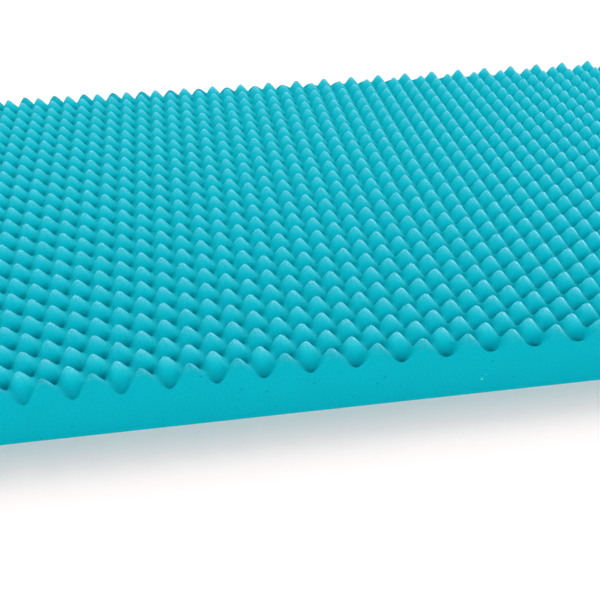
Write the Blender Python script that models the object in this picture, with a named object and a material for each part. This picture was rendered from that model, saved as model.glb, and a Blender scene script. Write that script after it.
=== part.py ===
"""Egg-crate foam mattress, one block of convoluted foam with a flat underside.

Metres, +Z up. The origin is at the middle of the underside. X runs along the long front edge,
Y from the front cut face to the back one.
"""

import math

import bmesh
import bpy

# The block, edge to edge, and its full thickness at the crests of the bumps.
LENGTH = 1.90
WIDTH = 1.00
THICKNESS = 0.104

# The bumps: their height from pit to crest, and how many repeats fit along each side.
RELIEF = 0.039
REPEATS_LONG = 30
REPEATS_DEEP = 24

# How far the necks between bumps rise or sink from mid height, as a share of half the relief.
# The necks that run to the right and forwards are the high ones, and all of them sink a little.
NECK_LEAN = 0.08
NECK_SINK = 0.06

# How far the bumps lean: a crest to the left and a pit to the right, as a share of their height
# over or under mid height.
BUMP_LEAN = 0.08

# The block is cut a little askew to the rows. The front cut passes just ahead of the first row of
# crests: its distance from them at the middle of the length, and what it gains for each metre
# to the right.
CUT_MARGIN = 0.0084
CUT_SKEW = 0.0080

FOAM_COLOUR = (0.0, 0.47, 0.56, 1.0)
FOAM_ROUGHNESS = 0.9
FLAT_ANGLE = math.radians(0.01)
CREASE_ANGLE = math.radians(80)

# A half step is the distance from a crest to the next pit, along either side.
HALF_STEP_X = LENGTH / REPEATS_LONG / 2
HALF_STEP_Y = WIDTH / REPEATS_DEEP / 2
COLUMNS = 2 * REPEATS_LONG
ROWS = 2 * REPEATS_DEEP
MID_HEIGHT = THICKNESS - RELIEF / 2


def clear_scene():
    """Remove every object, so that the file holds the mattress alone."""
    for item in list(bpy.data.objects):
        bpy.data.objects.remove(item)


def cut_margin(x):
    """Distance from the front cut face to the first row of crests, growing along X."""
    return CUT_MARGIN + CUT_SKEW * x


def foam_height(x, y):
    """Height of the bumpy top: crests and pits alternate like a chessboard, necks lie between."""
    across = math.pi * (x + LENGTH / 2) / HALF_STEP_X
    along = math.pi * (y + WIDTH / 2 - cut_margin(x)) / HALF_STEP_Y
    bump = math.cos(across) * math.cos(along)
    neck = math.sin(across) * math.sin(along)
    crease = math.sin(along) ** 2
    return MID_HEIGHT + RELIEF / 2 * (bump - NECK_LEAN * neck - NECK_SINK * crease)


def lattice_place(column, row):
    """Place of a lattice point on the top. Row -1 is the front cut and the last row the back one.

    A crest leans to the left and a pit to the right, except on the cut ends.
    """
    x = -LENGTH / 2 + column * HALF_STEP_X
    if row < 0:
        y = -WIDTH / 2
    elif row == ROWS:
        y = WIDTH / 2
    else:
        y = -WIDTH / 2 + cut_margin(x) + row * HALF_STEP_Y
    z = foam_height(x, y)
    if 0 < column < COLUMNS:
        x -= BUMP_LEAN * (z - MID_HEIGHT)
    return x, y, z


def add_top(bm):
    """The bumpy top: a crest or pit at each lattice point, and a neck at the middle of each cell."""
    grid = [
        [bm.verts.new(lattice_place(column, row)) for row in range(-1, ROWS + 1)]
        for column in range(COLUMNS + 1)
    ]
    cells = []
    for column in range(COLUMNS):
        for row in range(ROWS + 1):
            left, right = grid[column], grid[column + 1]
            face = bm.faces.new((left[row], right[row], right[row + 1], left[row + 1]))
            if row > 0:
                cells.append(face)
    necks = bmesh.ops.poke(bm, faces=cells)["verts"]
    for neck in necks:
        neck.co.z = foam_height(neck.co.x, neck.co.y)


def add_sides_and_underside(bm):
    """Draw the rim of the top straight down to the ground and close the block underneath."""
    rim = [edge for edge in bm.edges if edge.is_boundary]
    drawn = bmesh.ops.extrude_edge_only(bm, edges=rim)["geom"]
    foot_edges = [item for item in drawn if isinstance(item, bmesh.types.BMEdge) and item.is_boundary]
    for item in drawn:
        if isinstance(item, bmesh.types.BMVert):
            item.co.z = 0.0
    bmesh.ops.edgeloop_fill(bm, edges=foot_edges)


def join_flat_strips(bm):
    """Join the strips of each flat side into one face, and drop the needless points along its foot."""
    foot = [vert for vert in bm.verts if vert.co.z == 0.0]
    strip_edges = list({edge for vert in foot for edge in vert.link_edges})
    bmesh.ops.dissolve_limit(
        bm,
        angle_limit=FLAT_ANGLE,
        use_dissolve_boundaries=False,
        verts=foot,
        edges=strip_edges,
    )


def foam_material():
    """Matt turquoise foam."""
    material = bpy.data.materials.new("turquoise_foam")
    material.use_nodes = True
    shader = material.node_tree.nodes["Principled BSDF"]
    shader.inputs["Base Color"].default_value = FOAM_COLOUR
    shader.inputs["Roughness"].default_value = FOAM_ROUGHNESS
    shader.inputs["Metallic"].default_value = 0.0
    return material


def build_foam_slab():
    """The whole mattress, one solid of foam."""
    bm = bmesh.new()
    add_top(bm)
    add_sides_and_underside(bm)
    join_flat_strips(bm)
    bmesh.ops.recalc_face_normals(bm, faces=bm.faces)
    mesh = bpy.data.meshes.new("foam_slab")
    bm.to_mesh(mesh)
    bm.free()
    mesh.materials.append(foam_material())
    mesh.shade_smooth()
    mesh.set_sharp_from_angle(angle=CREASE_ANGLE)
    slab = bpy.data.objects.new("foam_slab", mesh)
    bpy.context.scene.collection.objects.link(slab)


clear_scene()
build_foam_slab()
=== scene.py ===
"""Egg-crate foam mattress: the fine form and finish of the foam, built round its frame.

Metres, +Z up. The block rests on z = 0 with its long front edge along X at the lowest Y.
"""

import math

import bpy
import numpy as np
from mathutils import Matrix, Vector


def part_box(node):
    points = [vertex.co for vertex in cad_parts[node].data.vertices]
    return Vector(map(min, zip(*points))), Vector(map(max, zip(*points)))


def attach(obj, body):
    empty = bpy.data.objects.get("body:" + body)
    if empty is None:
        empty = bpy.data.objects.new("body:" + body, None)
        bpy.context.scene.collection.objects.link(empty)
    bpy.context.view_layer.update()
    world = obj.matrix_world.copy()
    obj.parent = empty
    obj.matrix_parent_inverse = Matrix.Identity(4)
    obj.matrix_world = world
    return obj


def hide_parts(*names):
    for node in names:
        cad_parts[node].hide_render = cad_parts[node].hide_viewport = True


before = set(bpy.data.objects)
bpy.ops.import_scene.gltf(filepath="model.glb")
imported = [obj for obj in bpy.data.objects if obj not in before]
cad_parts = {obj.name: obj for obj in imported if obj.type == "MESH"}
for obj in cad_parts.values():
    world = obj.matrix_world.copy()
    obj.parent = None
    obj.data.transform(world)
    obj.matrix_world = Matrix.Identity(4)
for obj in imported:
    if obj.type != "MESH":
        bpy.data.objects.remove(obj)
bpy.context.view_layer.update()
LOW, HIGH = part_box("foam_slab")

# The block of foam, read from the frame.
LENGTH = HIGH.x - LOW.x
WIDTH = HIGH.y - LOW.y

# The bumps, as the solid has them: repeats along each side, height from pit to crest, how far the
# necks between bumps lean and sink from mid height, as shares of half the relief, and how far a
# crest leans to the left and a pit to the right, as a share of its height from mid height.
REPEATS_LONG = 30
REPEATS_DEEP = 24
RELIEF = 0.039
NECK_LEAN = 0.08
NECK_SINK = 0.06
BUMP_LEAN = 0.08
HALF_STEP_X = LENGTH / REPEATS_LONG / 2
HALF_STEP_Y = WIDTH / REPEATS_DEEP / 2
MID_HEIGHT = HIGH.z - RELIEF / 2

# The block is cut a little askew to the rows: the first row's distance from the front cut at the
# middle of the length, and what it gains for each metre to the right.
CUT_MARGIN = 0.0084
CUT_SKEW = 0.0080

# How far the sides of a bump are drawn straight, from 0, a pure wave, to 1, straight ramps.
RAMP = 0.82

# The soft edge between the bumps and the cut sides: its radius, and its rings of points inwards.
RIM_RADIUS = 0.0035
RIM_RINGS = np.array([0.0, 0.15, 0.5, 1.0]) * RIM_RADIUS

# The grid of the bumpy face: steps in a half step either way, steps between the front cut and the
# first row, and how far the steps gather at crests and pits.
STEPS_X = 6
STEPS_Y = 5
STRIP_STEPS = 12
CROWDING = 0.3

# The colour of the cuts reaches this far in over the bumpy face, as painted shade there.
CUT_REACH = 0.012


def cut_margin(x):
    """Distance from the front cut to the first row of crests: a straight line along X."""
    return CUT_MARGIN + CUT_SKEW * x


def bump_wave(x, y):
    """The bumps from -1 in a pit to 1 on a crest.

    With a and b running through pi for each half step along X and Y, the wave is
    cos(a) cos(b) - lean sin(a) sin(b). Its arcsine, scaled to reach 1 again, draws the sides
    of each bump straight and keeps its crest round. The necks sink by the square of sin(b).
    """
    a = np.pi * (x - LOW.x) / HALF_STEP_X
    b = np.pi * (y - LOW.y - cut_margin(x)) / HALF_STEP_Y
    wave = np.cos(a) * np.cos(b) - NECK_LEAN * np.sin(a) * np.sin(b)
    ramps = np.arcsin(RAMP * wave) / math.asin(RAMP)
    return ramps - NECK_SINK * np.sin(b) ** 2


def lean(x, height):
    """Sideways shift of a place at a height over mid height, fading out towards the cut ends."""
    fade = np.clip(np.minimum(x - LOW.x, HIGH.x - x) / HALF_STEP_X, 0.0, 1.0)
    return -BUMP_LEAN * height * fade


def rim_drop(distance):
    """How far the soft edge lies under the open surface: a quarter circle of RIM_RADIUS."""
    inward = np.clip(RIM_RADIUS - distance, 0.0, RIM_RADIUS)
    return RIM_RADIUS - np.sqrt(RIM_RADIUS**2 - inward**2)


def half_step_places(steps):
    """Places in a half step, t - crowding sin(2 pi t) / (2 pi), which gather at crest and pit."""
    t = np.arange(steps) / steps
    return t - CROWDING * np.sin(2 * np.pi * t) / (2 * np.pi)


def column_places():
    """X of the grid columns: the soft edge's rings at both ends, half steps between them."""
    halves = np.arange(2 * REPEATS_LONG)[:, None] + half_step_places(STEPS_X)
    inner = LOW.x + HALF_STEP_X * halves.ravel()[1:]
    return np.concatenate([LOW.x + RIM_RINGS, inner, (HIGH.x - RIM_RINGS)[::-1]])


def row_places(x):
    """Y of the grid rows for each column: soft edge, strip, half steps, strip, soft edge."""
    first = LOW.y + cut_margin(x) + HALF_STEP_Y
    last = first + (2 * REPEATS_DEEP - 2) * HALF_STEP_Y
    front = LOW.y + RIM_RADIUS
    back = HIGH.y - RIM_RADIUS
    share = np.arange(1, STRIP_STEPS) / STRIP_STEPS
    front_strip = front + (first[:, None] - front) * share
    back_share = np.arange(1, STEPS_Y) / STEPS_Y
    back_strip = last[:, None] + (back - last[:, None]) * back_share
    halves = np.arange(2 * REPEATS_DEEP - 2)[:, None] + half_step_places(STEPS_Y)
    rows = first[:, None] + HALF_STEP_Y * halves.ravel()
    edge = np.broadcast_to(LOW.y + RIM_RINGS, (len(x), len(RIM_RINGS)))
    far_edge = np.broadcast_to((HIGH.y - RIM_RINGS)[::-1], (len(x), len(RIM_RINGS)))
    return np.concatenate([edge, front_strip, rows, last[:, None], back_strip, far_edge], axis=1)


def bumpy_top():
    """The places of the bumpy face as a grid, and the two levels that its finish follows.

    The levels are the bumps, from -1 to 1, and the distance from the nearest cut side as a share
    of CUT_REACH.
    """
    column_x = column_places()
    y = row_places(column_x)
    x = np.repeat(column_x[:, None], y.shape[1], axis=1)
    wave = bump_wave(x, y)
    height = RELIEF / 2 * wave
    from_end = np.minimum(x - LOW.x, HIGH.x - x)
    from_side = np.minimum(y - LOW.y, HIGH.y - y)
    z = MID_HEIGHT + height - rim_drop(from_end) - rim_drop(from_side)
    places = np.stack([x + lean(x, height), y, z], axis=-1)
    inside = np.clip(np.minimum(from_end, from_side) / CUT_REACH, 0.0, 1.0)
    return places, {"bump_height": wave, "from_cut": inside}


def block_faces(columns, rows):
    """Faces of a block closed under a grid: the grid's own, the sides, the underside; and its rim.

    The points of the foot are numbered after those of the grid, one below each point of the rim.
    """
    index = np.arange(columns * rows).reshape(columns, rows)
    quads = np.stack([index[:-1, :-1], index[1:, :-1], index[1:, 1:], index[:-1, 1:]], axis=-1)
    rim = np.concatenate([index[:, 0], index[-1, 1:], index[-2::-1, -1], index[0, -2:0:-1]])
    foot = index.size + np.arange(len(rim))
    sides = np.stack([foot, np.roll(foot, -1), np.roll(rim, -1), rim], axis=-1)
    return quads.reshape(-1, 4), sides, foot[::-1], rim


def foam_mesh():
    """The foam as one closed mesh: a grid of the bumps, four upright cut sides, a flat underside."""
    top, levels = bumpy_top()
    quads, sides, underside, rim = block_faces(*top.shape[:2])
    top = top.reshape(-1, 3)
    ground = top[rim] * (1.0, 1.0, 0.0)
    faces = quads.tolist() + sides.tolist() + [underside.tolist()]
    mesh = bpy.data.meshes.new("foam")
    mesh.from_pydata(np.concatenate([top, ground]), [], faces)
    cut = np.arange(len(faces)) >= len(quads)
    mesh.polygons.foreach_set("use_smooth", ~cut)
    mesh.polygons.foreach_set("material_index", cut.astype(np.int32))
    for name, level in levels.items():
        values = np.concatenate([level.ravel(), np.zeros(len(rim))])
        mesh.attributes.new(name, "FLOAT", "POINT").data.foreach_set("value", values)
    mesh.update()
    return mesh


def principled(name, roughness, shine):
    """A new material, its tree and its Principled shader, with its roughness and specular level."""
    material = bpy.data.materials.new(name)
    material.use_nodes = True
    shader = material.node_tree.nodes["Principled BSDF"]
    shader.inputs["Roughness"].default_value = roughness
    shader.inputs["Specular IOR Level"].default_value = shine
    return material, material.node_tree, shader


def add(tree, kind, **settings):
    """A node of a kind, with its settings and the values of its named inputs."""
    node = tree.nodes.new(kind)
    for key, value in settings.items():
        if hasattr(node, key):
            setattr(node, key, value)
        else:
            node.inputs[key.replace("_", " ")].default_value = value
    return node


def maths(tree, operation, first, second=None):
    """One step of arithmetic on sockets or plain numbers."""
    node = tree.nodes.new("ShaderNodeMath")
    node.operation = operation
    for slot, value in enumerate((first, second)):
        if value is None:
            continue
        if isinstance(value, (int, float)):
            node.inputs[slot].default_value = value
        else:
            tree.links.new(value, node.inputs[slot])
    return node.outputs[0]


def share_of(tree, value, scale, offset):
    """A value times a scale, plus an offset."""
    node = add(tree, "ShaderNodeMath", operation="MULTIPLY_ADD")
    tree.links.new(value, node.inputs[0])
    node.inputs[1].default_value = scale
    node.inputs[2].default_value = offset
    return node.outputs[0]


def mixed(tree, share, first, second):
    """A colour between two, by a share."""
    node = tree.nodes.new("ShaderNodeMix")
    node.data_type = "RGBA"
    sockets = (node.inputs["Factor"], node.inputs[6], node.inputs[7])
    for socket, value in zip(sockets, (share, first, second)):
        if isinstance(value, (int, float, tuple)):
            socket.default_value = value
        else:
            tree.links.new(value, socket)
    return node.outputs[2]


# The open cells: their size, that of the specks that they make, and that of the soft clouds.
CELL = 0.0016
SPECK = 0.0020
SPECK_DETAIL = 2.0
CLOUD = 0.035
CLOUD_DETAIL = 3.0


def foam_cells():
    """The open cells of the foam, for both faces: how deep each cell lies, fine specks, soft clouds."""
    group = bpy.data.node_groups.new("foam_cells", "ShaderNodeTree")
    for name in ("Cells", "Specks", "Clouds"):
        group.interface.new_socket(name, in_out="OUTPUT", socket_type="NodeSocketFloat")
    out = group.nodes.new("NodeGroupOutput")
    place = add(group, "ShaderNodeTexCoord").outputs["Object"]
    cells = add(group, "ShaderNodeTexVoronoi", Scale=1 / CELL)
    specks = add(group, "ShaderNodeTexNoise", Scale=1 / SPECK, Detail=SPECK_DETAIL)
    clouds = add(group, "ShaderNodeTexNoise", Scale=1 / CLOUD, Detail=CLOUD_DETAIL)
    for node in (cells, specks, clouds):
        group.links.new(place, node.inputs["Vector"])
    group.links.new(cells.outputs["Distance"], out.inputs["Cells"])
    group.links.new(specks.outputs["Fac"], out.inputs["Specks"])
    group.links.new(clouds.outputs["Fac"], out.inputs["Clouds"])
    return group


def use(tree, group):
    """A shared group, placed in a material."""
    node = tree.nodes.new("ShaderNodeGroup")
    node.node_tree = group
    return node


def roughen(tree, shader, height, depth):
    """Surface relief from a height socket, depth in metres."""
    bump = add(tree, "ShaderNodeBump", Strength=1.0, Distance=depth)
    tree.links.new(height, bump.inputs["Height"])
    tree.links.new(bump.outputs["Normal"], shader.inputs["Normal"])


# Foam is matt. Its sawn cells are the roughest, and the worn crests have a thin smooth skin.
FOAM_SHINE = 0.1
BUMPY_ROUGHNESS = 0.8
CUT_ROUGHNESS = 0.9
SKIN_ROUGHNESS = 0.55
SKIN_IOR = 1.5

# The sawn foam: its specks, the clouds that stir every colour, and how deep its cells are. The
# specks are its own; their level, darker than the bumps' body, is painted shade on the cut sides.
CUT_DARK = (0.0, 0.28, 0.345, 1.0)
CUT_LIGHT = (0.0, 0.53, 0.645, 1.0)
CLOUDINESS = 0.10
CUT_RELIEF = 0.0004


def cloud_share(tree, skin):
    """A small share, above and below nothing, by which the soft clouds stir a colour."""
    return share_of(tree, skin.outputs["Clouds"], CLOUDINESS, -0.5 * CLOUDINESS)


def cut_colour(tree, skin):
    """Colour of the sawn foam: light and dark specks under soft clouds."""
    share = maths(tree, "ADD", skin.outputs["Specks"], cloud_share(tree, skin))
    return mixed(tree, share, CUT_DARK, CUT_LIGHT)


# Painted shade darkens the pits, and a painted highlight in pale specks lights the crests. Each
# power says how soon its colour or skin comes in with height: a high one stays close to the crest.
PIT_SHADE_COLOUR = (0.0, 0.14, 0.22, 1.0)
BODY_COLOUR = (0.0, 0.565, 0.655, 1.0)
CREST_HIGHLIGHT_COLOUR = (0.26, 0.65, 0.88, 1.0)
BODY_POWER = 0.5
CREST_HIGHLIGHT_POWER = 8.0
SKIN_POWER = 5.0
SPECK_CONTRAST = 4.0
CREST_RELIEF = 0.0008


def bumpy_colour(tree, skin, height):
    """Colour of the bumpy face, from the height of a bump, 0 in a pit to 1 on a crest.

    A power of the height, stirred by clouds, mixes the pit's painted shade into the body's colour.
    Near the cut sides it becomes the cut's colour: painted shade that matches them to the cuts.
    Close to the crest a higher power lets pale specks of painted highlight through.
    """
    inner = add(tree, "ShaderNodeAttribute", attribute_name="from_cut").outputs["Fac"]
    # Painted shade: the pits' dark colour, by a power of the height.
    depth = maths(tree, "ADD", maths(tree, "POWER", height, BODY_POWER), cloud_share(tree, skin))
    body = mixed(tree, depth, PIT_SHADE_COLOUR, BODY_COLOUR)
    # Painted shade: the cut's colour over the bumps next to the cut sides.
    body = mixed(tree, inner, cut_colour(tree, skin), body)
    # Painted highlight: pale specks close to the crest, none near the cut sides.
    specks = share_of(tree, skin.outputs["Specks"], SPECK_CONTRAST, 0.5 - 0.5 * SPECK_CONTRAST)
    specks.node.use_clamp = True
    crest_highlight = maths(tree, "MULTIPLY", maths(tree, "POWER", height, CREST_HIGHLIGHT_POWER), specks)
    crest_highlight = maths(tree, "MULTIPLY", crest_highlight, inner)
    return mixed(tree, crest_highlight, body, CREST_HIGHLIGHT_COLOUR)


def bumpy_foam(cells):
    """The bumpy face: crests slightly worn and smooth, so that they catch the light.

    The smooth skin grows as a power of the height, and the open cells roughen it.
    """
    material, tree, shader = principled("bumpy_foam", BUMPY_ROUGHNESS, FOAM_SHINE)
    shader.inputs["Coat Roughness"].default_value = SKIN_ROUGHNESS
    shader.inputs["Coat IOR"].default_value = SKIN_IOR
    skin = use(tree, cells)
    wave = add(tree, "ShaderNodeAttribute", attribute_name="bump_height").outputs["Fac"]
    height = share_of(tree, wave, 0.5, 0.5)
    tree.links.new(bumpy_colour(tree, skin, height), shader.inputs["Base Color"])
    crest = maths(tree, "POWER", height, SKIN_POWER)
    tree.links.new(crest, shader.inputs["Coat Weight"])
    relief = maths(tree, "MULTIPLY", skin.outputs["Cells"], crest)
    roughen(tree, shader, relief, CREST_RELIEF)
    return material


# Small holes in the sawn faces, as spots of painted shade: how far apart they could stand, their
# size as a share of that, and how many of the chances are passed over.
HOLE_SHADE_COLOUR = (0.0, 0.10, 0.14, 1.0)
HOLE_SPACING = 0.011
HOLE_SIZE = 0.09
HOLE_CHANCE = 0.80

# Small nicks in the front cut, where pale torn foam shows: place and radius.
NICKS = (
    ((-0.1020, LOW.y, 0.0261), 0.0017),
    ((-0.0969, LOW.y, 0.0332), 0.0008),
)
NICK_COLOUR = (0.14, 0.60, 0.64, 1.0)


def with_holes(tree, place, colour):
    """A colour with small holes as dark spots of painted shade.

    A hole stands in those cells of a coarse Voronoi pattern whose own random number is over the
    chance, within a small distance of the cell's point.
    """
    coarse = add(tree, "ShaderNodeTexVoronoi", Scale=1 / HOLE_SPACING)
    tree.links.new(place, coarse.inputs["Vector"])
    near = maths(tree, "LESS_THAN", coarse.outputs["Distance"], HOLE_SIZE)
    number = add(tree, "ShaderNodeSeparateColor")
    tree.links.new(coarse.outputs["Color"], number.inputs["Color"])
    chosen = maths(tree, "GREATER_THAN", number.outputs["Red"], HOLE_CHANCE)
    return mixed(tree, maths(tree, "MULTIPLY", near, chosen), colour, HOLE_SHADE_COLOUR)


def with_nicks(tree, place, colour):
    """A colour with the pale nicks, each a small round spot."""
    for middle, radius in NICKS:
        away = add(tree, "ShaderNodeVectorMath", operation="DISTANCE")
        tree.links.new(place, away.inputs[0])
        away.inputs[1].default_value = middle
        inside = maths(tree, "LESS_THAN", away.outputs["Value"], radius)
        colour = mixed(tree, inside, colour, NICK_COLOUR)
    return colour


def cut_foam(cells):
    """The sawn sides and underside: fine light and dark specks, a few small holes, pale nicks."""
    material, tree, shader = principled("cut_foam", CUT_ROUGHNESS, FOAM_SHINE)
    skin = use(tree, cells)
    place = add(tree, "ShaderNodeTexCoord").outputs["Object"]
    colour = with_nicks(tree, place, with_holes(tree, place, cut_colour(tree, skin)))
    tree.links.new(colour, shader.inputs["Base Color"])
    roughen(tree, shader, skin.outputs["Specks"], CUT_RELIEF)
    return material


def build_foam():
    """The mattress, in place of the plain faceted solid."""
    mesh = foam_mesh()
    cells = foam_cells()
    mesh.materials.append(bumpy_foam(cells))
    mesh.materials.append(cut_foam(cells))
    foam = bpy.data.objects.new("foam_mattress", mesh)
    bpy.context.scene.collection.objects.link(foam)
    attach(foam, "root")
    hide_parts("foam_slab")


# The floor: half its side, and its finish.
FLOOR_HALF = 30.0
FLOOR_COLOUR = (0.94, 0.865, 0.855, 1.0)
FLOOR_ROUGHNESS = 0.9


def build_floor():
    """A plain pale floor."""
    mesh = bpy.data.meshes.new("floor")
    s = FLOOR_HALF
    mesh.from_pydata([(-s, -s, 0), (s, -s, 0), (s, s, 0), (-s, s, 0)], [], [(0, 1, 2, 3)])
    material, _, shader = principled("white_floor", FLOOR_ROUGHNESS, 0.0)
    shader.inputs["Base Color"].default_value = FLOOR_COLOUR
    mesh.materials.append(material)
    floor = bpy.data.objects.new("floor", mesh)
    bpy.context.scene.collection.objects.link(floor)


# The camera: where it stands, how far it is turned from +Y towards +X, tilted down and rolled.
CAMERA_PLACE = Vector((-0.489, -1.405, 0.828))
CAMERA_TURN = math.radians(8.075)
CAMERA_TILT = math.radians(34.855)
CAMERA_ROLL = math.radians(-0.75)
CAMERA_LENS = 52.5
CAMERA_SENSOR = 36.0


def build_camera():
    """A camera that looks down on the front edge from the left."""
    data = bpy.data.cameras.new("camera")
    data.lens = CAMERA_LENS
    data.sensor_width = CAMERA_SENSOR
    camera = bpy.data.objects.new("camera", data)
    bpy.context.scene.collection.objects.link(camera)
    turn = Matrix.Rotation(-CAMERA_TURN, 4, "Z")
    tilt = Matrix.Rotation(math.pi / 2 - CAMERA_TILT, 4, "X")
    roll = Matrix.Rotation(CAMERA_ROLL, 4, "Z")
    camera.matrix_world = Matrix.Translation(CAMERA_PLACE) @ turn @ tilt @ roll
    bpy.context.scene.camera = camera


# Soft lamps round the mattress: name, azimuth from +X towards +Y and elevation in degrees, the light
# it casts square on, as a share of full, and whether it only makes highlights.
LAMPS = (
    ("back", 90, 43, 0.44, False),
    ("back_right", 23, 39, 0.42, False),
    ("back_left", 135, 29, 0.15, False),
    ("back_left_low", 135, 8, 0.15, False),
    ("left_back", 158, 22, 0.11, False),
    ("front_left_low", 225, 20, 0.21, False),
    ("front_left", 248, 29, 0.25, False),
    ("front", 270, 38, 0.20, False),
    ("front_right", 315, 34, 0.23, False),
    ("right_window", 18, 10, 2.2, True),
    ("back_window", 90, 60, 0.35, True),
    ("front_window", 330, 35, 0.5, True),
)
LAMP_WIDTH = math.radians(30)
LAMP_COLOUR = (1.0, 1.0, 1.0)
WINDOW_COLOUR = (0.62, 0.72, 1.0)
WORLD_STRENGTH = 0.07


def build_light():
    """Plain soft studio light: broad lamps on all sides, three of them for highlights alone."""
    for name, azimuth, elevation, share, highlight in LAMPS:
        lamp = bpy.data.lights.new(name, "SUN")
        lamp.angle = LAMP_WIDTH
        lamp.energy = share * math.pi
        holder = bpy.data.objects.new(name, lamp)
        turn = Matrix.Rotation(math.radians(azimuth + 90), 4, "Z")
        tilt = Matrix.Rotation(math.radians(90 - elevation), 4, "X")
        holder.matrix_world = turn @ tilt
        holder.visible_diffuse = not highlight
        holder.visible_glossy = highlight
        lamp.color = WINDOW_COLOUR if highlight else LAMP_COLOUR
        bpy.context.scene.collection.objects.link(holder)
    world = bpy.data.worlds.new("studio")
    world.use_nodes = True
    world.node_tree.nodes["Background"].inputs["Color"].default_value = (1.0, 1.0, 1.0, 1.0)
    world.node_tree.nodes["Background"].inputs["Strength"].default_value = WORLD_STRENGTH
    world.cycles_visibility.glossy = False
    bpy.context.scene.world = world
    bpy.context.scene.view_settings.view_transform = "Standard"


build_foam()
build_floor()
build_camera()
build_light()
